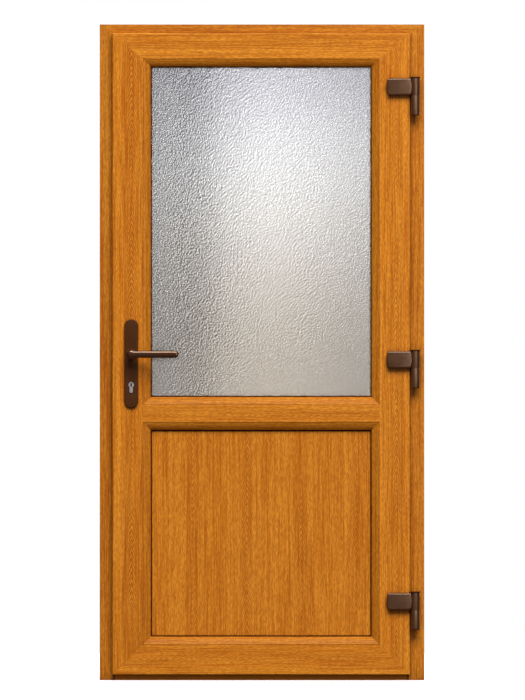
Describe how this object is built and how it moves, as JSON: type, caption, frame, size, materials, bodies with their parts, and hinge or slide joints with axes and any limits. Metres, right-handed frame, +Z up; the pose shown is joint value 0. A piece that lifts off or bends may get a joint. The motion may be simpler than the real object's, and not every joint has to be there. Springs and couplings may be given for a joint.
{
  "type": "exterior door",
  "caption": "Half-glazed exterior door in its frame: a hinged leaf with obscured glass above a flat panel, a lever handle on each face and a keyed profile cylinder.",
  "frame": {"origin": "middle of the threshold's underside, half way across the frame's width and depth", "axes": "+X along the wall from the lock side to the hinge side, +Y from the room to the outside, +Z up"},
  "size_m": [0.98, 0.186, 1.98],
  "materials": {
    "oak_foil": "golden oak foil with a fine vertical grain, satin",
    "panel_foil": "golden oak foil on a flat board, satin",
    "obscured_glass": "fine hammered texture, lets light through but no view",
    "spacer_bar": "dull",
    "seal_rubber": "dark brown, dull",
    "hinge_brown": "brown powder coat, satin",
    "handle_brown": "brown lacquer, satin",
    "cylinder_nickel": "matt nickel plating",
    "lock_steel": "zinc plated",
    "threshold_brown": "brown coated, satin"
  },
  "bodies": {
    "frame": {"frame_head": "oak_foil", "frame_hinge_jamb": "oak_foil", "frame_lock_jamb": "oak_foil", "frame_seal": "seal_rubber", "hinge_bottom_frame_side": "hinge_brown", "hinge_middle_frame_side": "hinge_brown", "hinge_top_frame_side": "hinge_brown", "strike_plate": "lock_steel", "threshold": "threshold_brown"},
    "leaf": {"glass_bead_bottom": "oak_foil", "glass_bead_hinge": "oak_foil", "glass_bead_lock": "oak_foil", "glass_bead_top": "oak_foil", "glass_gasket_outer": "seal_rubber", "glass_gasket_room": "seal_rubber", "glass_pane_outer": "obscured_glass", "glass_pane_room": "obscured_glass", "glass_spacer": "spacer_bar", "handle_plate_outer": "handle_brown", "handle_plate_room": "handle_brown", "hinge_bottom_cover": "hinge_brown", "hinge_bottom_leaf_side": "hinge_brown", "hinge_middle_cover": "hinge_brown", "hinge_middle_leaf_side": "hinge_brown", "hinge_top_cover": "hinge_brown", "hinge_top_leaf_side": "hinge_brown", "leaf_bottom_rail": "oak_foil", "leaf_hinge_stile": "oak_foil", "leaf_lock_stile": "oak_foil", "leaf_mid_rail": "oak_foil", "leaf_seal": "seal_rubber", "leaf_top_rail": "oak_foil", "lock_bolt": "lock_steel", "lock_cylinder": "cylinder_nickel", "lock_faceplate": "lock_steel", "lock_latch": "lock_steel", "lower_panel": "panel_foil", "panel_bead_bottom": "oak_foil", "panel_bead_hinge": "oak_foil", "panel_bead_lock": "oak_foil", "panel_bead_top": "oak_foil", "panel_gasket_outer": "seal_rubber", "panel_gasket_room": "seal_rubber"},
    "handle": {"lever_room": "handle_brown", "lever_outer": "handle_brown", "spindle": "lock_steel"},
    "key_plug": {"key_plug": "cylinder_nickel"}
  },
  "joints": [
    {"name": "leaf_swing", "type": "hinge", "parent": "frame", "child": "leaf", "pos_m": [0.462, -0.064, 0.942], "axis": [0, 0, 1], "range_deg": [0, 100]},
    {"name": "handle_turn", "type": "hinge", "parent": "leaf", "child": "handle", "pos_m": [-0.3945, -0.023, 0.984], "axis": [0, 1, 0], "range_deg": [0, 40], "stiffness_Nm_per_rad": 1.5, "springref_deg": -34.38},
    {"name": "key_plug_turn", "type": "hinge", "parent": "leaf", "child": "key_plug", "pos_m": [-0.3945, -0.056, 0.892], "axis": [0, 1, 0], "continuous": true}
  ]
}
